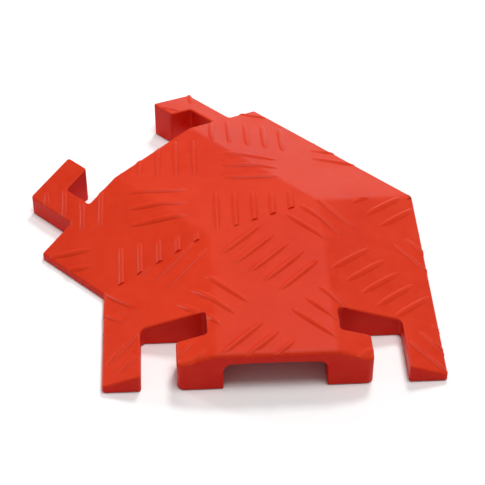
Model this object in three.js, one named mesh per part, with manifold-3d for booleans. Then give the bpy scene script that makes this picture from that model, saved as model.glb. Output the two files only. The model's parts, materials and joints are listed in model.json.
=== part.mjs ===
// Corner section of a modular drop-over cable ramp: one moulding with tread bars, a bent
// channel underneath, sockets at the front end, hooks at the rear end, and rubber pads below.
import * as THREE from 'three';
import { mergeVertices } from 'three/addons/utils/BufferGeometryUtils.js';
import Module from 'manifold-3d';

const wasm = await Module();
wasm.setup();

// Ramp section, millimetres. The front half runs along +Y, the rear half turns left from it.
const rampWidth = 280;
const plateauWidth = 97.5;
const plateauHeight = 38.5;
const edgeHeight = 7.5;
const undersideHeight = 0.8;
const turn = THREE.MathUtils.degToRad(45);
const frontLength = 166;
const rearLength = 136;

// Channel that drops over the cable or hose; its roof is a flat arch
const channelWidth = 84;
const channelHeight = 28.8;
const channelCrown = 1.3;
const channelCorner = 8;

// Sockets in the front end, measured outwards from the centre line and back from the end face
const socket = { inner: 79.5, outer: 108.5, depth: 53.7, undercutFrom: 28, undercutTo: 54 };

// Hooks on the rear end, which drop into the next section's sockets
const hook = { outer: 103.5, neck: 81, headFrom: 29.2, length: 53.4, tip: 55.2 };

// Corner radii of the outline
const radius = { leg: 2.6, nose: 6, socket: 4.5, hook: 2.6, root: 2.4, wing: 2 };

// Tread: groups of five bars and groups of three bars across them, at half a turn to the ramp
const bar = { length: 50, width: 6.8, taper: 11, height: 1.8, pitch: 16.5, crossPitch: 17.2 };
const frontTread = { anchor: [1.4, 114.3], along: 138, step: [52.2, 80.3] };
const rearTread = { anchor: [1.6, 12.9], along: 126, step: [50, 84] };
const treadAngle = Math.PI / 4;
const treadReach = 3;

// Parts of the rear half without bars: the middle of its outer wing, and the inner hook's head
const plainPatches = [
  { alongFrom: 24, alongTo: 96, acrossFrom: 15, acrossTo: 112 },
  { alongFrom: 75, alongTo: 125, acrossFrom: -185, acrossTo: -165 },
];

// Pads: rubber blocks pressed into recesses in the underside
const pad = { thickness: 3, corner: 3, gap: 0.3 };

// Steps in a quarter turn, and a length well past every side of the ramp
const arcSteps = 4;
const far = 600;
const halfWidth = rampWidth / 2;
const mitreSlope = Math.tan(turn / 2);

// Solids ------------------------------------------------------------------------------

function solidOf(geometry) {
  const bare = geometry.clone();
  bare.deleteAttribute('normal');
  bare.deleteAttribute('uv');
  const merged = mergeVertices(bare, 1e-4);
  const vertProperties = new Float32Array(merged.attributes.position.array);
  const triVerts = new Uint32Array(merged.index.array);
  return new wasm.Manifold(new wasm.Mesh({ numProp: 3, vertProperties, triVerts }));
}

function geometryOf(solid) {
  const mesh = solid.getMesh();
  const geometry = new THREE.BufferGeometry();
  const places = new Float32Array(mesh.vertProperties);
  geometry.setAttribute('position', new THREE.BufferAttribute(places, 3));
  geometry.setIndex(new THREE.BufferAttribute(new Uint32Array(mesh.triVerts), 1));
  return geometry;
}

function prism(shape, low, high) {
  const options = { depth: high - low, bevelEnabled: false, curveSegments: arcSteps };
  return new THREE.ExtrudeGeometry(shape, options).translate(0, 0, low);
}

function joined(solids) {
  return solids.reduce((sum, solid) => sum.add(solid));
}

// Outline from corners [x, y, radius], each rounded by an arc of that radius
function roundedShape(corners) {
  const shape = new THREE.Shape();
  corners.forEach(([x, y, r], i) => {
    const corner = new THREE.Vector2(x, y);
    const before = new THREE.Vector2(...corners.at(i - 1)).sub(corner).normalize();
    const after = new THREE.Vector2(...corners[(i + 1) % corners.length]).sub(corner).normalize();
    const opening = Math.acos(THREE.MathUtils.clamp(before.dot(after), -1, 1));
    const inset = r / Math.tan(opening / 2);
    const start = before.multiplyScalar(inset).add(corner);
    const end = after.multiplyScalar(inset).add(corner);
    if (i === 0) shape.moveTo(start.x, start.y);
    else shape.lineTo(start.x, start.y);
    shape.quadraticCurveTo(x, y, end.x, end.y);
  });
  shape.closePath();
  return shape;
}

// Ramp plan ---------------------------------------------------------------------------

// Moves a geometry from the straight ramp's frame to the rear half
function toRear(geometry) {
  return geometry.rotateZ(turn).translate(0, frontLength, 0);
}

function rearPoint(side, along, r) {
  const point = new THREE.Vector2(side, along).rotateAround(new THREE.Vector2(), turn);
  return [point.x, point.y + frontLength, r];
}

function planShape() {
  const socketEdge = (side) => [
    [side * socket.outer, 0, radius.leg],
    [side * socket.outer, socket.depth, radius.socket],
    [side * socket.undercutTo, socket.depth, radius.socket],
    [side * socket.undercutTo, socket.undercutFrom, radius.root],
    [side * socket.inner, socket.undercutFrom, radius.hook],
    [side * socket.inner, 0, radius.nose],
  ];
  const hookEdge = (side) => [
    [hook.outer, 0, radius.root],
    [hook.outer, hook.length, radius.hook],
    [hook.tip, hook.length, radius.hook],
    [hook.tip, hook.headFrom, radius.hook],
    [hook.neck, hook.headFrom, radius.root],
    [hook.neck, 0, radius.root],
  ].map(([x, y, r]) => rearPoint(side * x, rearLength + y, r));
  const mitreRise = halfWidth * mitreSlope;
  return roundedShape([
    [-halfWidth, 0, radius.leg],
    ...socketEdge(-1),
    ...socketEdge(1).reverse(),
    [halfWidth, 0, radius.leg],
    [halfWidth, frontLength + mitreRise, radius.wing],
    rearPoint(halfWidth, rearLength, radius.wing),
    ...hookEdge(1),
    ...hookEdge(-1).reverse(),
    rearPoint(-halfWidth, rearLength, radius.wing),
    [-halfWidth, frontLength - mitreRise, radius.wing],
  ]);
}

// Solid that runs along both halves and meets itself at the mitre. The edge lists its
// right-hand side from top to bottom; the inner sides of the bend are joined and the outer
// sides are cut by each other, which makes the valley and the ridge of the bend.
function bentSolid(edge) {
  const [, top] = edge[0];
  const [, bottom] = edge.at(-1);
  const side = (sign) => {
    const shape = new THREE.Shape();
    shape.moveTo(-sign * far, top);
    edge.forEach(([x, y]) => shape.lineTo(sign * x, y));
    shape.lineTo(-sign * far, bottom);
    shape.closePath();
    return prism(shape, -far, far).rotateX(Math.PI / 2);
  };
  const inner = solidOf(side(-1)).add(solidOf(toRear(side(-1))));
  const outer = solidOf(side(1)).intersect(solidOf(toRear(side(1))));
  return inner.intersect(outer);
}

// The section reaches past its own edges here, because the plan cuts it to width
function rampEnvelope(raise) {
  return bentSolid([
    [plateauWidth / 2, plateauHeight + raise],
    [halfWidth, edgeHeight + raise],
    [rampWidth, edgeHeight + raise],
    [rampWidth, undersideHeight],
  ]);
}

function channelSolid() {
  const halfChannel = channelWidth / 2;
  const shoulder = channelHeight - channelCrown;
  const edge = [[halfChannel, -channelHeight]];
  for (let i = 0; i <= arcSteps; i += 1) {
    const angle = (i / arcSteps) * (Math.PI / 2);
    const x = halfChannel - channelCorner * (1 - Math.cos(angle));
    edge.unshift([x, shoulder - channelCorner * (1 - Math.sin(angle))]);
  }
  edge.unshift([channelWidth / 6, channelHeight]);
  return bentSolid(edge);
}

// Tread -------------------------------------------------------------------------------

function barGeometry(along, across, angle) {
  const half = bar.length / 2;
  const shape = new THREE.Shape();
  shape.moveTo(-half, 0);
  shape.lineTo(bar.taper - half, -bar.width / 2);
  shape.lineTo(half - bar.taper, -bar.width / 2);
  shape.lineTo(half, 0);
  shape.lineTo(half - bar.taper, bar.width / 2);
  shape.lineTo(bar.taper - half, bar.width / 2);
  shape.closePath();
  return prism(shape, edgeHeight / 2, plateauHeight + 2 * bar.height)
    .rotateZ(angle)
    .translate(along, -across, 0);
}

function inPatch(patch, along, across) {
  return along > patch.alongFrom && along < patch.alongTo
    && across > patch.acrossFrom && across < patch.acrossTo;
}

// Bars of one half in its own frame; along follows the five-bar groups, and across is to
// their right
function treadBars(tread, patches) {
  const bars = [];
  const place = (along, across, angle) => {
    if (patches.some((patch) => inPatch(patch, along, across))) return;
    bars.push(barGeometry(along, across, angle).rotateZ(treadAngle));
  };
  const [anchorX, anchorY] = tread.anchor;
  const anchorAlong = (anchorX + anchorY) * Math.SQRT1_2;
  const anchorAcross = (anchorX - anchorY) * Math.SQRT1_2;
  for (let column = -treadReach; column <= treadReach; column += 1) {
    for (let row = -treadReach; row <= treadReach; row += 1) {
      const along = anchorAlong + row * tread.along + column * tread.step[0];
      const across = anchorAcross + column * tread.step[1];
      for (let i = -2; i <= 2; i += 1) place(along, across + i * bar.pitch, 0);
      for (let i = -1; i <= 1; i += 1) {
        place(along + tread.along / 2 + i * bar.crossPitch, across, Math.PI / 2);
      }
    }
  }
  return bars;
}

// Everything on the front side of the mitre, or with side -1 on the rear side
function mitreZone(side) {
  const shape = new THREE.Shape();
  shape.moveTo(-far, frontLength - far * mitreSlope);
  shape.lineTo(-far, frontLength - side * far);
  shape.lineTo(far, frontLength - side * far);
  shape.lineTo(far, frontLength + far * mitreSlope);
  shape.closePath();
  return solidOf(prism(shape, -far, far));
}

function treadSolid() {
  const front = joined(treadBars(frontTread, []).map(solidOf)).intersect(mitreZone(1));
  const rearBars = treadBars(rearTread, plainPatches).map((geometry) => solidOf(toRear(geometry)));
  const rear = joined(rearBars).intersect(mitreZone(-1));
  return front.add(rear).intersect(rampEnvelope(bar.height));
}

// Pads --------------------------------------------------------------------------------

// Each pad: name, half it sits under, centre across and along the ramp, size
const padPlaces = [
  ['pad_leg_left', 'front', -124, 28, 18, 38],
  ['pad_leg_right', 'front', 124, 28, 18, 38],
  ['pad_nose_left', 'front', -61, 14, 24, 17],
  ['pad_nose_right', 'front', 61, 14, 24, 17],
  ['pad_inner_front', 'front', -91, 82, 72, 24],
  ['pad_inner_rear', 'rear', -91, 108, 72, 24],
  ['pad_outer_front', 'front', 91, 82, 72, 24],
  ['pad_outer_middle', 'front', 91, 142, 72, 24],
  ['pad_outer_corner', 'rear', 91, -12, 72, 24],
  ['pad_outer_rear', 'rear', 91, 48, 72, 24],
  ['pad_outer_end', 'rear', 91, 108, 72, 24],
];

function padPrism([, half, side, along, width, length], grow, low, high) {
  const x = width / 2 + grow;
  const y = length / 2 + grow;
  const r = pad.corner + grow;
  const shape = roundedShape([[-x, -y, r], [x, -y, r], [x, y, r], [-x, y, r]]);
  const geometry = prism(shape, low, high).translate(side, along, 0);
  return half === 'rear' ? toRear(geometry) : geometry;
}

// Space that a pad is pressed into, open below
function padRecess(place) {
  return solidOf(padPrism(place, pad.gap, -pad.thickness, pad.thickness + pad.gap));
}

function rampBody() {
  const plan = solidOf(prism(planShape(), -far, far));
  const body = rampEnvelope(0)
    .add(treadSolid())
    .intersect(plan)
    .subtract(channelSolid())
    .subtract(joined(padPlaces.map(padRecess)));
  return geometryOf(body);
}

// Assembly ----------------------------------------------------------------------------

const moulded = new THREE.MeshStandardMaterial({ color: 0xdc3a20, roughness: 0.42, metalness: 0 });
const rubber = new THREE.MeshStandardMaterial({ color: 0x1c1c1e, roughness: 0.85, metalness: 0 });

function part(name, geometry, material) {
  const mesh = new THREE.Mesh(geometry, material);
  mesh.name = name;
  return mesh;
}

const ramp = new THREE.Group();
ramp.add(part('ramp_body', rampBody(), moulded));
padPlaces.forEach((place) => {
  ramp.add(part(place[0], padPrism(place, 0, 0, pad.thickness), rubber));
});

// The origin is on the floor under the middle of the ramp's box
const box = new THREE.Box3().setFromObject(ramp);
const middle = box.getCenter(new THREE.Vector3());
ramp.children.forEach((mesh) => mesh.geometry.translate(-middle.x, -middle.y, -box.min.z));

export default ramp;
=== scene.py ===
import json
import math

import bmesh
import bpy
from mathutils import Matrix, Vector
from mathutils.bvhtree import BVHTree

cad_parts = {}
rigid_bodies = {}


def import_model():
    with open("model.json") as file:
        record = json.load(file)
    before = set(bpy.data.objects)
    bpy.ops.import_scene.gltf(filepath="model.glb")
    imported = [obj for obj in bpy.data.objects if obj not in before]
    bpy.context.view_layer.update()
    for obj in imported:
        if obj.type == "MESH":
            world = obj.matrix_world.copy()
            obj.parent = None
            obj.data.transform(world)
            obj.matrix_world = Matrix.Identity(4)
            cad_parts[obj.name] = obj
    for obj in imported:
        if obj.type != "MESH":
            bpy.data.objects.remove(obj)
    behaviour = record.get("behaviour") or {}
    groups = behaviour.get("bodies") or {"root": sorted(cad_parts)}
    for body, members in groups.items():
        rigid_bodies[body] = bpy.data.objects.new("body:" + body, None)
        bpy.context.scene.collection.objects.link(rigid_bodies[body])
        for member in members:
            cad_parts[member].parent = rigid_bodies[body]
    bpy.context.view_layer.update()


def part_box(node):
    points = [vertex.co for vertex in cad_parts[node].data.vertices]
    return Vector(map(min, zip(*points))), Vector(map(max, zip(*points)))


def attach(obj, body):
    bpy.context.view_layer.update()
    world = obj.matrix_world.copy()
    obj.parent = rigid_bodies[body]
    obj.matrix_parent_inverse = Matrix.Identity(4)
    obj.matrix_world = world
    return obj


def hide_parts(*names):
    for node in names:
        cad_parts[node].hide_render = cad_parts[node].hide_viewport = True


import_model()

mm = 0.001
floorHeight = 0.0

ramp = {
    "width": 280 * mm,
    "plateau": 97.5 * mm,
    "height": 38.5 * mm,
    "edge": 7.5 * mm,
    "underside": 0.8 * mm,
    "turn": math.radians(45),
    "front": 166 * mm,  # centre line from the front face to the mitre
    "rear": 136 * mm,  # centre line from the mitre to the rear face
    "arcSegments": 7,  # odd, so that no corner point falls on the mitre
}

socket = {
    "inner": 79.5 * mm,
    "outer": 108.5 * mm,
    "depth": 53.7 * mm,
    "undercutFrom": 28 * mm,
    "undercutTo": 54 * mm,
}

hook = {
    "outer": 103.5 * mm,
    "neck": 81 * mm,
    "headFrom": 29.2 * mm,
    "length": 53.4 * mm,
    "tip": 55.2 * mm,
}

corner = {
    "leg": 2.6 * mm,
    "nose": 6 * mm,
    "socket": 4.5 * mm,
    "hook": 2.6 * mm,
    "root": 2.4 * mm,
    "wing": 2 * mm,
}

bodyLow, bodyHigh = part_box("ramp_body")
halfWidth = ramp["width"] / 2
mitreSlope = math.tan(ramp["turn"] / 2)
# middle of the front face, on the floor
jointPoint = Vector((bodyHigh.x - halfWidth, bodyLow.y, floorHeight))
toPlace = Matrix.Translation(jointPoint)
toRear = Matrix.Translation((0, ramp["front"], 0)) @ Matrix.Rotation(ramp["turn"], 4, "Z")
mitreNormal = Vector((-mitreSlope, 1, 0)).normalized()
mitrePoint = Vector((0, ramp["front"], 0))

closeness = {
    "parallel": 0.999,  # cosine between two directions that count as the same
    "upright": 0.9,  # a face whose normal is steeper than this faces up or down
    "onMitre": 0.01 * mm,
    "cut": 0.0001 * mm,
    "grid": 0.001 * mm,
    "merge": 0.02 * mm,
}


def mitreDistance(point):
    return abs((point - mitrePoint).dot(mitreNormal))


def rearPoint(side, along, radius):
    point = toRear @ Vector((side, along, 0))
    return (point.x, point.y, radius)


def planCorners():
    def socketEdge(side):
        return [
            (side * socket["outer"], 0, corner["leg"]),
            (side * socket["outer"], socket["depth"], corner["socket"]),
            (side * socket["undercutTo"], socket["depth"], corner["socket"]),
            (side * socket["undercutTo"], socket["undercutFrom"], corner["root"]),
            (side * socket["inner"], socket["undercutFrom"], corner["hook"]),
            (side * socket["inner"], 0, corner["nose"]),
        ]

    def hookEdge(side):
        edge = [
            (hook["outer"], 0, corner["root"]),
            (hook["outer"], hook["length"], corner["hook"]),
            (hook["tip"], hook["length"], corner["hook"]),
            (hook["tip"], hook["headFrom"], corner["hook"]),
            (hook["neck"], hook["headFrom"], corner["root"]),
            (hook["neck"], 0, corner["root"]),
        ]
        return [rearPoint(side * x, ramp["rear"] + y, r) for x, y, r in edge]

    mitreRise = halfWidth * mitreSlope
    return [
        (-halfWidth, 0, corner["leg"]),
        *socketEdge(-1),
        *reversed(socketEdge(1)),
        (halfWidth, 0, corner["leg"]),
        (halfWidth, ramp["front"] + mitreRise, corner["wing"]),
        rearPoint(halfWidth, ramp["rear"], corner["wing"]),
        *hookEdge(1),
        *reversed(hookEdge(-1)),
        rearPoint(-halfWidth, ramp["rear"], corner["wing"]),
        (-halfWidth, ramp["front"] - mitreRise, corner["wing"]),
    ]


def roundedFace(bm, corners, segments):
    verts = [bm.verts.new((x, y, 0)) for x, y, r in corners]
    bm.faces.new(verts)
    for radius in sorted({r for x, y, r in corners if r > 0}):
        chosen = [v for v, c in zip(verts, corners) if c[2] == radius]
        bmesh.ops.bevel(
            bm, geom=chosen, offset=radius, offset_type="OFFSET", segments=segments,
            profile=0.5, affect="VERTICES", clamp_overlap=False, material=-1,
        )


def raiseFace(bm, height):
    raised = bmesh.ops.extrude_face_region(bm, geom=bm.faces[:])["geom"]
    top = [v for v in raised if isinstance(v, bmesh.types.BMVert)]
    bmesh.ops.translate(bm, verts=top, vec=(0, 0, height))
    bmesh.ops.recalc_face_normals(bm, faces=bm.faces[:])


def prism(corners, low, high, segments):
    bm = bmesh.new()
    roundedFace(bm, corners, segments)
    bmesh.ops.translate(bm, verts=bm.verts[:], vec=(0, 0, low))
    raiseFace(bm, high - low)
    return bm


def cutAway(bm, point, normal):  # takes off the side that the normal points to, and closes the cut
    cut = bmesh.ops.bisect_plane(
        bm, geom=bm.verts[:] + bm.edges[:] + bm.faces[:], dist=closeness["cut"],
        plane_co=point, plane_no=normal, clear_outer=True,
    )
    rim = [e for e in cut["geom_cut"] if isinstance(e, bmesh.types.BMEdge)]
    bmesh.ops.edgeloop_fill(bm, edges=rim)


def pourInto(bm, other):
    mesh = bpy.data.meshes.new("passing")
    other.to_mesh(mesh)
    other.free()
    bm.from_mesh(mesh)
    bpy.data.meshes.remove(mesh)


def joinHalves(front, rear):  # both are cut at the mitre; their cut faces go, and the rims are merged
    pourInto(front, rear)
    facingMitre = [f for f in front.faces if abs(f.normal.dot(mitreNormal)) > closeness["parallel"]]
    caps = [f for f in facingMitre if mitreDistance(f.calc_center_median()) < closeness["onMitre"]]
    bmesh.ops.delete(front, geom=caps, context="FACES_ONLY")
    bmesh.ops.remove_doubles(front, verts=front.verts[:], dist=closeness["merge"])
    bmesh.ops.recalc_face_normals(front, faces=front.faces[:])
    return front


def objectFrom(bm, name, placed=True):
    mesh = bpy.data.meshes.new(name)
    if placed:
        bm.transform(toPlace)
    bm.to_mesh(mesh)
    bm.free()
    piece = bpy.data.objects.new(name, mesh)
    bpy.context.scene.collection.objects.link(piece)
    return piece


def applyModifiers(piece):
    depsgraph = bpy.context.evaluated_depsgraph_get()
    mesh = bpy.data.meshes.new_from_object(piece.evaluated_get(depsgraph))
    piece.modifiers.clear()
    old = piece.data
    piece.data = mesh
    bpy.data.meshes.remove(old)
    mesh.name = piece.name


def combine(piece, tool, operation):
    modifier = piece.modifiers.new("combine", "BOOLEAN")
    modifier.object = tool
    modifier.operation = operation
    modifier.solver = "MANIFOLD"
    applyModifiers(piece)
    bpy.data.objects.remove(tool)


wingDrop = ramp["height"] - ramp["edge"]
wingRun = halfWidth - ramp["plateau"] / 2
wingNormals = [Vector((side * wingDrop, 0, wingRun)).normalized() for side in (-1, 1)]


def rampBlank():
    def half(side):
        bm = prism(planCorners(), ramp["underside"], 2 * ramp["height"], ramp["arcSegments"])
        cutAway(bm, mitrePoint, side * mitreNormal)
        cutAway(bm, (0, 0, ramp["height"]), (0, 0, 1))
        turned = Matrix.Identity(4) if side > 0 else toRear
        for normal in wingNormals:
            crease = Vector((math.copysign(ramp["plateau"] / 2, normal.x), 0, ramp["height"]))
            cutAway(bm, turned @ crease, turned.to_3x3() @ normal)
        return bm

    return joinHalves(half(1), half(-1))


channel = {
    "width": 84 * mm,
    "height": 28.8 * mm,
    "crown": 1.3 * mm,  # the roof is a flat arch, this much lower at its sides
    "corner": 8 * mm,
    "arch": 26 * mm,
    "arcSegments": 8,
    "past": 30 * mm,
    "below": 10 * mm,
}


def channelTool():
    def half(side):
        bm = bmesh.new()
        x = channel["width"] / 2
        # drawn flat with its height along Y, then stood up
        shoulder = channel["height"] - channel["crown"]
        section = [
            (-x, -channel["below"], 0),
            (x, -channel["below"], 0),
            (x, shoulder, channel["corner"]),
            (0, channel["height"], channel["arch"]),
            (-x, shoulder, channel["corner"]),
        ]
        roundedFace(bm, section, channel["arcSegments"])
        reach = ramp["width"]
        start = -channel["past"] if side > 0 else -reach
        end = ramp["front"] + reach if side > 0 else ramp["rear"] + channel["past"]
        raiseFace(bm, end - start)
        standUp = Matrix.Rotation(math.radians(90), 3, "X")
        bmesh.ops.rotate(bm, verts=bm.verts[:], cent=(0, 0, 0), matrix=standUp)
        bmesh.ops.translate(bm, verts=bm.verts[:], vec=(0, end, 0))
        if side < 0:
            bm.transform(toRear)
        cutAway(bm, mitrePoint, side * mitreNormal)
        return bm

    return joinHalves(half(1), half(-1))


padSize = {"thickness": 3 * mm, "corner": 3 * mm, "gap": 0.3 * mm, "arcSegments": 5}

# node, piece, half of the ramp, across, along, width, length
padPlaces = [
    ("pad_leg_left", "legPadLeft", "front", -124, 28, 18, 38),
    ("pad_leg_right", "legPadRight", "front", 124, 28, 18, 38),
    ("pad_nose_left", "nosePadLeft", "front", -61, 14, 24, 17),
    ("pad_nose_right", "nosePadRight", "front", 61, 14, 24, 17),
    ("pad_inner_front", "innerPadFront", "front", -91, 82, 72, 24),
    ("pad_inner_rear", "innerPadRear", "rear", -91, 108, 72, 24),
    ("pad_outer_front", "outerPadFront", "front", 91, 82, 72, 24),
    ("pad_outer_middle", "outerPadMiddle", "front", 91, 142, 72, 24),
    ("pad_outer_corner", "outerPadCorner", "rear", 91, -12, 72, 24),
    ("pad_outer_rear", "outerPadRear", "rear", 91, 48, 72, 24),
    ("pad_outer_end", "outerPadEnd", "rear", 91, 108, 72, 24),
]


def padPrism(width, length, grow, low, high):
    x = width * mm / 2 + grow
    y = length * mm / 2 + grow
    radius = padSize["corner"] + grow
    corners = [(-x, -y, radius), (x, -y, radius), (x, y, radius), (-x, y, radius)]
    return prism(corners, low, high, padSize["arcSegments"])


def settle(bm, half, across, along):  # from a pad's own middle to its place under the ramp
    bm.transform(Matrix.Translation((across * mm, along * mm, 0)))
    if half == "rear":
        bm.transform(toRear)


edgeSoftness = {
    "widest": 4 * mm,  # every other width here is a share of this one
    "rim": 1.8 * mm,
    "noseRim": 4 * mm,
    "noseReach": 7 * mm,  # how far back from the front face the nose keeps its softer rim
    "crease": 3 * mm,
    "mouth": 1.2 * mm,
    "foot": 0.5 * mm,
    "segments": 5,
    "flat": math.radians(4),  # below this angle an edge stays as it is
    "slight": math.radians(25),  # away from the rims and creases, below this one too
    "level": math.radians(0.5),  # faces closer than this in direction become one
    "nearFoot": 2 * mm,  # edges lower than this over the foot are left alone, unless they stand up
    "standing": 10 * mm,
}


def softnessOf(edge):
    if len(edge.link_faces) != 2 or edge.calc_face_angle(0) < edgeSoftness["flat"]:
        return 0
    fromPlace = toPlace.inverted()
    start, end = (fromPlace @ v.co for v in edge.verts)
    middle = (start + end) / 2
    lowest, highest = sorted(f.normal.z for f in edge.link_faces)
    if lowest > closeness["upright"]:
        return edgeSoftness["crease"]
    if max(mitreDistance(start), mitreDistance(end)) < closeness["onMitre"]:
        return 0
    if highest > closeness["upright"]:
        onNose = abs(middle.x) < socket["inner"] and middle.y < edgeSoftness["noseReach"]
        return edgeSoftness["noseRim"] if onNose else edgeSoftness["rim"]
    if edge.calc_face_angle(0) < edgeSoftness["slight"]:
        return 0
    footHeight = 2 * ramp["underside"]
    if lowest < -closeness["upright"] and middle.z < footHeight:
        return edgeSoftness["foot"]
    high = middle.z > footHeight + edgeSoftness["nearFoot"]
    standing = abs(start.z - end.z) > edgeSoftness["standing"]
    return edgeSoftness["mouth"] if high or standing else 0


def softenEdges(piece):
    bm = bmesh.new()
    bm.from_mesh(piece.data)
    verts, edges = bm.verts[:], bm.edges[:]
    bmesh.ops.dissolve_limit(bm, angle_limit=edgeSoftness["level"], verts=verts, edges=edges)
    weight = bm.edges.layers.float.new("bevel_weight_edge")
    for edge in bm.edges:
        edge[weight] = softnessOf(edge) / edgeSoftness["widest"]
    bm.to_mesh(piece.data)
    bm.free()
    bevel = piece.modifiers.new("soften", "BEVEL")
    bevel.limit_method = "WEIGHT"
    bevel.width = edgeSoftness["widest"]
    bevel.segments = edgeSoftness["segments"]
    bevel.profile = 0.5
    bevel.use_clamp_overlap = False
    applyModifiers(piece)


def divide(piece, size):  # even cells, so that no face has to run round a whole tread bar
    bm = bmesh.new()
    bm.from_mesh(piece.data)
    for axis in (Vector((1, 0, 0)), Vector((0, 1, 0))):
        low, high = axis.dot(bodyLow), axis.dot(bodyHigh)
        for i in range(1, math.ceil((high - low) / size)):
            line = (low + i * size) * axis
            whole = bm.verts[:] + bm.edges[:] + bm.faces[:]
            bmesh.ops.bisect_plane(bm, geom=whole, dist=closeness["grid"], plane_co=line, plane_no=axis)
    bm.to_mesh(piece.data)
    bm.free()


tread = {
    "length": 53 * mm,
    "width": 6.8 * mm,
    "bluntness": 0.62,  # under 1 keeps a bar's width nearer to its tips
    "rise": 1.8 * mm,
    "root": 0.9 * mm,  # how deep each bar reaches into the deck
    "lap": 0.05 * mm,  # how far its widest line lies under the deck
    "cell": 8.3 * mm,
    "pitch": 16.5 * mm,
    "crossPitch": 17.2 * mm,
    "angle": math.radians(45),
    "around": 16,
    "alongBar": 18,
    "inset": 0.5 * mm,  # bars stop this far inside the outline
    "fade": 5 * mm,  # and sink into the deck over this length before it
    "mitreGap": 0.05 * mm,
    "groupOfBars": 5,
    "groupAcross": 3,
    "reach": 3,  # rows and columns of groups to each side of the anchor
}

treadLayout = {
    "front": {"anchor": (1.4, 114.3), "along": 138, "step": (52.2, 80.3)},
    "rear": {"anchor": (1.6, 12.9), "along": 126, "step": (50, 84)},
}

# parts of the rear half without bars: along from and to, across from and to
plainPatches = {
    "front": [],
    "rear": [(24, 96, 15, 112), (75, 125, -185, -165)],
}


def evenly(count):  # whole steps on both sides of the middle one
    return range(-(count // 2), count // 2 + 1)


def treadBars(half):
    layout = treadLayout[half]
    anchorX, anchorY = layout["anchor"]
    startAlong = (anchorX + anchorY) * math.sqrt(0.5) * mm
    startAcross = (anchorX - anchorY) * math.sqrt(0.5) * mm
    stepAlong, stepAcross = (value * mm for value in layout["step"])
    groupLength = layout["along"] * mm
    places = []
    for column in range(-tread["reach"], tread["reach"] + 1):
        for row in range(-tread["reach"], tread["reach"] + 1):
            along = startAlong + row * groupLength + column * stepAlong
            across = startAcross + column * stepAcross
            for i in evenly(tread["groupOfBars"]):
                places.append((along, across + i * tread["pitch"], 0))
            halfway = along + groupLength / 2
            for i in evenly(tread["groupAcross"]):
                places.append((halfway + i * tread["crossPitch"], across, math.radians(90)))
    for patch in plainPatches[half]:
        low, high, left, right = (value * mm for value in patch)
        places = [(a, c, turn) for a, c, turn in places if not (low < a < high and left < c < right)]
    return places


def nearRamp(point):
    margin = tread["length"]
    low, high = bodyLow - jointPoint, bodyHigh - jointPoint
    return low.x - margin < point.x < high.x + margin and low.y - margin < point.y < high.y + margin


def barTemplate():  # a round-backed ridge over a flat root, lying along X
    layDown = Matrix.Rotation(math.radians(90), 4, "Y")  # the sphere's poles become the bar's two tips
    bm = bmesh.new()
    bmesh.ops.create_uvsphere(bm, u_segments=tread["around"], v_segments=tread["alongBar"], radius=1)
    bm.transform(layDown)
    for v in bm.verts:
        v.co.x = math.copysign(abs(v.co.x) ** tread["bluntness"], v.co.x)
        v.co.z = tread["rise"] * v.co.z ** 2 if v.co.z > 0 else tread["root"] * v.co.z
    bm.transform(Matrix.Diagonal((tread["length"] / 2, tread["width"] / 2, 1, 1)))
    mesh = bpy.data.meshes.new("bar")
    bm.to_mesh(mesh)
    bm.free()
    return mesh


def barsOf(half):
    bm = bmesh.new()
    side = 1 if half == "front" else -1
    turned = Matrix.Identity(4) if half == "front" else toRear
    bar = barTemplate()
    for along, across, turn in treadBars(half):
        toGroup = Matrix.Rotation(tread["angle"], 4, "Z") @ Matrix.Translation((along, -across, 0))
        place = turned @ toGroup @ Matrix.Rotation(turn, 4, "Z")
        if not nearRamp(place.translation):
            continue
        if side * (place.translation - mitrePoint).dot(mitreNormal) > tread["length"] / 2:
            continue
        copy = bar.copy()
        copy.transform(place)
        bm.from_mesh(copy)
        bpy.data.meshes.remove(copy)
    bpy.data.meshes.remove(bar)
    cutAway(bm, mitrePoint - side * tread["mitreGap"] * mitreNormal, side * mitreNormal)
    return bm


def drape(bm, deck, walls):  # lays each point at its own height over the ramp's surface
    down = Vector((0, 0, -1))
    for v in bm.verts:
        above = Vector((v.co.x, v.co.y, 1.5 * ramp["height"]))
        rimPoint, _, _, toRim = walls.find_nearest(above)
        hit = deck.ray_cast(above, down)[0]
        if hit is None:  # past the rim, where the height just inside it holds
            inward = (rimPoint - above).normalized() * tread["inset"]
            hit = deck.ray_cast(rimPoint + inward, down)[0] or Vector((0, 0, 0))
            toRim = 0
        sunk = max(0, 1 - toRim / tread["fade"]) ** 2
        v.co.z += hit.z - tread["lap"] - sunk * tread["rise"]


def outlineWall():  # the ramp's upright sides alone, to measure how far a point is from them
    bm = prism(planCorners(), 0, 2 * ramp["height"], ramp["arcSegments"])
    caps = [f for f in bm.faces if abs(f.normal.z) > closeness["upright"]]
    bmesh.ops.delete(bm, geom=caps, context="FACES_ONLY")
    bm.transform(toPlace)
    tree = BVHTree.FromBMesh(bm)
    bm.free()
    return tree


def trimTool():
    bm = bmesh.new()
    roundedFace(bm, planCorners(), ramp["arcSegments"])
    inset = bmesh.ops.inset_region(bm, faces=bm.faces[:], thickness=tread["inset"], use_even_offset=True)
    bmesh.ops.delete(bm, geom=inset["faces"], context="FACES")
    raiseFace(bm, 2 * ramp["height"])
    return objectFrom(bm, "trimTool")


def treadObject(deck):
    deckTree = BVHTree.FromObject(deck, bpy.context.evaluated_depsgraph_get())
    bm = barsOf("front")
    pourInto(bm, barsOf("rear"))
    bm.transform(toPlace)
    drape(bm, deckTree, outlineWall())
    bars = objectFrom(bm, "treadBars", placed=False)
    combine(bars, trimTool(), "INTERSECT")
    return bars


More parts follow.
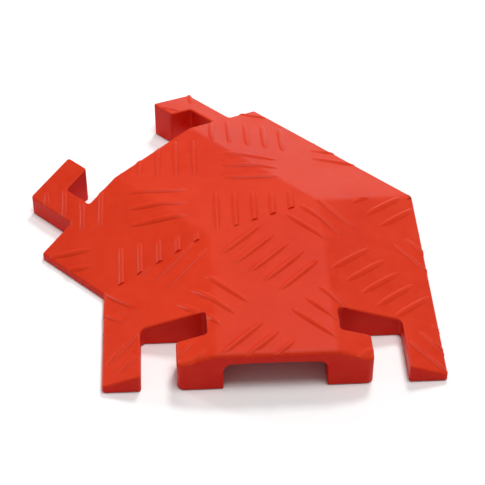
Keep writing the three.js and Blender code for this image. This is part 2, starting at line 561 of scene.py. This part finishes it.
def report(piece):
    bm = bmesh.new()
    bm.from_mesh(piece.data)
    openEdges = sum(1 for e in bm.edges if not e.is_manifold)
    volume = bm.calc_volume() * 1e6
    print(f"  {piece.name}: {len(bm.faces)} faces, {openEdges} open edges, {volume:.0f} cm3")
    bm.free()


print("ramp body: blank and channel")
body = objectFrom(rampBlank(), "rampMoulding")
combine(body, objectFrom(channelTool(), "channelTool"), "DIFFERENCE")
print("ramp body: pad recesses")
recessTop = padSize["thickness"] + padSize["gap"]
for _, _, half, across, along, width, length in padPlaces:
    recess = padPrism(width, length, padSize["gap"], -padSize["thickness"], recessTop)
    settle(recess, half, across, along)
    combine(body, objectFrom(recess, "recessTool"), "DIFFERENCE")
report(body)
print("ramp body: soft edges")
softenEdges(body)
report(body)
print("ramp body: tread")
divide(body, tread["cell"])
treadPiece = treadObject(body)
report(treadPiece)
combine(body, treadPiece, "UNION")
report(body)


def finishShading(piece, angle):
    piece.data.shade_smooth()
    piece.data.set_sharp_from_angle(angle=math.radians(angle))
    weighted = piece.modifiers.new("evenShading", "WEIGHTED_NORMAL")
    weighted.keep_sharp = True
    weighted.weight = 100


finishShading(body, 32)

grip = {
    "rimInset": 1.4 * mm,
    "pocketDepth": 0.8 * mm,
    "pocketSlope": 0.2 * mm,
    "cell": 6 * mm,
    "wall": 0.9 * mm,
    "edge": 0.35 * mm,
    "sharpAngle": math.radians(60),
}


def gripPad(name, half, across, along, width, length):
    bm = padPrism(width, length, 0, floorHeight, padSize["thickness"])
    for size, axis in ((width, Vector((1, 0, 0))), (length, Vector((0, 1, 0)))):
        inner = size * mm - 2 * grip["rimInset"]
        count = max(2, round(inner / grip["cell"]))
        for i in range(count + 1):
            line = (i / count - 0.5) * inner * axis
            under = [f for f in bm.faces if f.normal.z < -closeness["upright"]]
            around = [part for f in under for part in (*f.edges, *f.verts)]
            geom = under + list(dict.fromkeys(around))  # each edge and point once, in a fixed order
            bmesh.ops.bisect_plane(bm, geom=geom, dist=closeness["cut"], plane_co=line, plane_no=axis)
    reachX = width * mm / 2 - grip["rimInset"]
    reachY = length * mm / 2 - grip["rimInset"]
    cells = []
    for face in bm.faces:
        middle = face.calc_center_median()
        inside = abs(middle.x) < reachX and abs(middle.y) < reachY
        if face.normal.z < -closeness["upright"] and inside:
            cells.append(face)
    for width, depth in ((grip["wall"] / 2, 0), (grip["pocketSlope"], -grip["pocketDepth"])):
        bmesh.ops.inset_individual(bm, faces=cells, thickness=width, depth=depth, use_even_offset=True)
    settle(bm, half, across, along)
    pad = objectFrom(bm, name)
    soften = pad.modifiers.new("soften", "BEVEL")
    soften.limit_method = "ANGLE"
    soften.angle_limit = grip["sharpAngle"]
    soften.width = grip["edge"]
    soften.segments = 2
    finishShading(pad, 40)
    return pad


print("grip pads")
pads = []
for node, name, half, across, along, width, length in padPlaces:
    pad = gripPad(name, half, across, along, width, length)
    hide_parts(node)
    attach(pad, "root")
    pads.append(pad)
report(pads[0])


def startMaterial(name):
    material = bpy.data.materials.new(name)
    material.use_nodes = True
    return material, material.node_tree, material.node_tree.nodes["Principled BSDF"]


def addNode(tree, kind, inputs, **settings):  # an input is a value, or the output it is linked to
    node = tree.nodes.new(kind)
    node.location = (-220 * len(tree.nodes), 0)
    for key, value in settings.items():
        setattr(node, key, value)
    for key, value in inputs.items():
        if isinstance(value, bpy.types.NodeSocket):
            tree.links.new(value, node.inputs[key])
        else:
            node.inputs[key].default_value = value
    return node


def noise(tree, place, scale, detail, roughness=0.5):
    inputs = {"Vector": place, "Scale": scale, "Detail": detail, "Roughness": roughness}
    return addNode(tree, "ShaderNodeTexNoise", inputs).outputs["Fac"]


def remap(tree, value, fromLow, fromHigh, low=0.0, high=1.0):
    inputs = {"Value": value, "From Min": fromLow, "From Max": fromHigh, "To Min": low, "To Max": high}
    return addNode(tree, "ShaderNodeMapRange", inputs).outputs["Result"]


def times(tree, first, second):
    return addNode(tree, "ShaderNodeMath", {0: first, 1: second}, operation="MULTIPLY").outputs["Value"]


def mixColour(tree, amount, first, second):
    return addNode(tree, "ShaderNodeMix", {0: amount, 6: first, 7: second}, data_type="RGBA").outputs[2]


def bump(tree, height, strength, distance, under=None):
    inputs = {"Height": height, "Strength": strength, "Distance": distance}
    if under is not None:
        inputs["Normal"] = under
    return addNode(tree, "ShaderNodeBump", inputs).outputs["Normal"]


moulding = {
    # painted light and shade: top is the moulding's lit tone, topCloud a cloudier variant of it, and
    # side the same moulding painted as a deeper, redder shade for faces turned sideways
    "top": (0.61, 0.034, 0.0085, 1),
    "topCloud": (0.55, 0.025, 0.006, 1),
    "side": (0.62, 0.008, 0.002, 1),
    "rubbed": (0.64, 0.044, 0.012, 1),
    "paintedShadeUpTo": 0.25,  # share of the upright in the surface's direction; at or below it the sides get the full painted shade
    # from this share of the upright up, the tops get the full painted light
    "paintedLightFrom": 0.85,
    "cloudScale": 14,
    "mottleScale": 90,
    "scuffScale": 320,
    "grainScale": 1500,
    "waveScale": 45,
    "rimBand": ((0.1, 0.5), (0.93, 0.75)),  # the uprights where the rubbed rims set in and end
    "cloudBand": (0.3, 0.7),
    "mottleBand": (0.35, 0.75, 0, 0.4),
    "scuffBand": (0.35, 0.65, 0.15, 0.7),
    "roughness": (0.36, 0.50),
    "rubbedRoughness": 0.32,
    "specular": 0.1,
    "glow": 0.10,
    "glowRadius": (1.0, 0.25, 0.12),
    "glowDepth": 2.5 * mm,
    "waves": (0.25, 0.6 * mm),  # strength and height
    "grain": (0.5, 0.1 * mm),
}


def mouldingMaterial():
    material, tree, shader = startMaterial("orangeMoulding")
    texture = addNode(tree, "ShaderNodeTexCoord", {})
    place = texture.outputs["Object"]
    upright = addNode(tree, "ShaderNodeSeparateXYZ", {0: texture.outputs["Normal"]}).outputs["Z"]
    # painted light and shade by facing: 0 on upright sides, which get the painted shade, 1 on tops
    # facing up, which get the lit tone
    paintedLightOnTop = remap(tree, upright, moulding["paintedShadeUpTo"], moulding["paintedLightFrom"])
    setIn, end = moulding["rimBand"]
    onRim = times(tree, remap(tree, upright, *setIn), remap(tree, upright, *end))
    clouds = noise(tree, place, moulding["cloudScale"], 3)
    mottle = noise(tree, place, moulding["mottleScale"], 4, 0.6)
    scuffs = noise(tree, place, moulding["scuffScale"], 5, 0.7)
    grain = noise(tree, place, moulding["grainScale"], 2)
    waves = noise(tree, place, moulding["waveScale"], 2)
    cloudy = remap(tree, clouds, *moulding["cloudBand"])
    top = mixColour(tree, cloudy, moulding["top"], moulding["topCloud"])
    # blends the painted shade of the sides into the lit tone of the tops
    base = mixColour(tree, paintedLightOnTop, moulding["side"], top)
    mottled = remap(tree, mottle, *moulding["mottleBand"])
    speckled = mixColour(tree, mottled, base, moulding["rubbed"])
    rubbed = times(tree, onRim, remap(tree, scuffs, *moulding["scuffBand"]))
    colour = mixColour(tree, rubbed, speckled, moulding["rubbed"])
    gloss = remap(tree, mottle, *moulding["cloudBand"], *moulding["roughness"])
    rubbedGloss = remap(tree, rubbed, 0, 1, 1, moulding["rubbedRoughness"] / moulding["roughness"][1])
    broad = bump(tree, waves, *moulding["waves"])
    fine = bump(tree, grain, *moulding["grain"], broad)
    shader.inputs["Subsurface Weight"].default_value = moulding["glow"]
    shader.inputs["Subsurface Radius"].default_value = moulding["glowRadius"]
    shader.inputs["Subsurface Scale"].default_value = moulding["glowDepth"]
    shader.inputs["Specular IOR Level"].default_value = moulding["specular"]
    tree.links.new(colour, shader.inputs["Base Color"])
    tree.links.new(times(tree, gloss, rubbedGloss), shader.inputs["Roughness"])
    tree.links.new(fine, shader.inputs["Normal"])
    return material


padRubber = {
    "dark": (0.012, 0.012, 0.013, 1),
    "dusty": (0.045, 0.043, 0.042, 1),
    "grainScale": 900,
    "dustScale": 60,
    "roughness": (0.62, 0.85),
    "grain": (0.5, 0.1 * mm),
    "dustBand": (0.3, 0.7),
}


def padMaterial():
    material, tree, shader = startMaterial("blackPadRubber")
    place = addNode(tree, "ShaderNodeTexCoord", {}).outputs["Object"]
    dust = noise(tree, place, padRubber["dustScale"], 5, 0.65)
    grain = noise(tree, place, padRubber["grainScale"], 3)
    dusty = remap(tree, dust, *padRubber["dustBand"])
    colour = mixColour(tree, dusty, padRubber["dark"], padRubber["dusty"])
    gloss = remap(tree, dust, *padRubber["dustBand"], *padRubber["roughness"])
    tree.links.new(colour, shader.inputs["Base Color"])
    tree.links.new(gloss, shader.inputs["Roughness"])
    tree.links.new(bump(tree, grain, *padRubber["grain"]), shader.inputs["Normal"])
    return material


print("materials")
body.data.materials.clear()
body.data.materials.append(mouldingMaterial())
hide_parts("ramp_body")
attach(body, "root")
rubber = padMaterial()
for pad in pads:
    pad.data.materials.clear()
    pad.data.materials.append(rubber)

print("floor, lights and camera")
studio = {
    "floorSize": 6.0,
    "floorColour": (0.91, 0.91, 0.91, 1),
    "floorRoughness": 0.9,
    "floorSpecular": 0.1,
    "clearance": 0.1 * mm,  # the floor lies this far under the pads
    "world": 0.24,
    "worldColour": (1, 1, 1, 1),
    "middle": (-0.02, 0.18, 0),  # what the lights aim at, from the joint point
}

# each light's place from the middle, size and power
softLights = {
    "topSoftbox": ((0.3, -0.3, 2.1), (1.0, 0.8), 26),
    "backPanel": ((0.6, 2.2, 0.5), (0.9, 0.5), 4.5),
    "backKey": ((0.45, 1.05, 1.9), (0.5, 0.5), 21),
    "leftEdge": ((-1.76, 1.0, 0.88), (0.4, 0.4), 12),
}


def floorMaterial():
    material, tree, shader = startMaterial("paleFloor")
    shader.inputs["Base Color"].default_value = studio["floorColour"]
    shader.inputs["Roughness"].default_value = studio["floorRoughness"]
    shader.inputs["Specular IOR Level"].default_value = studio["floorSpecular"]
    return material


def floorPiece():
    bm = bmesh.new()
    bmesh.ops.create_grid(bm, x_segments=1, y_segments=1, size=studio["floorSize"])
    bmesh.ops.translate(bm, verts=bm.verts[:], vec=(0, 0, -studio["clearance"]))
    floor = objectFrom(bm, "floor")
    floor.data.materials.append(floorMaterial())


def areaLight(name, place, size, power):
    data = bpy.data.lights.new(name, "AREA")
    data.shape = "RECTANGLE"
    data.size, data.size_y = size
    data.energy = power
    light = bpy.data.objects.new(name, data)
    light.location = jointPoint + Vector(studio["middle"]) + Vector(place)
    light.rotation_euler = (-Vector(place)).to_track_quat("-Z", "Y").to_euler()
    bpy.context.scene.collection.objects.link(light)


floorPiece()
for name, (place, size, power) in softLights.items():
    areaLight(name, place, size, power)

world = bpy.data.worlds.new("studioAir")
bpy.context.scene.world = world
world.use_nodes = True
world.node_tree.nodes["Background"].inputs["Color"].default_value = studio["worldColour"]
world.node_tree.nodes["Background"].inputs["Strength"].default_value = studio["world"]

view = {
    "aim": (-17.8, 176.5, 0),
    "yaw": 2.92,
    "elevation": 41.9,
    "distance": 1375,
    "lens": 114.15,
    "sensor": 36,
}


def addCamera():
    yaw, elevation = math.radians(view["yaw"]), math.radians(view["elevation"])
    aim = jointPoint + Vector(view["aim"]) * mm
    level = math.cos(elevation)
    look = Vector((math.sin(yaw) * level, math.cos(yaw) * level, -math.sin(elevation)))
    data = bpy.data.cameras.new("camera")
    data.lens = view["lens"]
    data.sensor_width = view["sensor"]
    data.clip_start = 0.01
    camera = bpy.data.objects.new("camera", data)
    camera.location = aim - look * view["distance"] * mm
    camera.rotation_euler = look.to_track_quat("-Z", "Y").to_euler()
    bpy.context.scene.collection.objects.link(camera)
    bpy.context.scene.camera = camera


addCamera()
bpy.context.scene.view_settings.view_transform = "Standard"
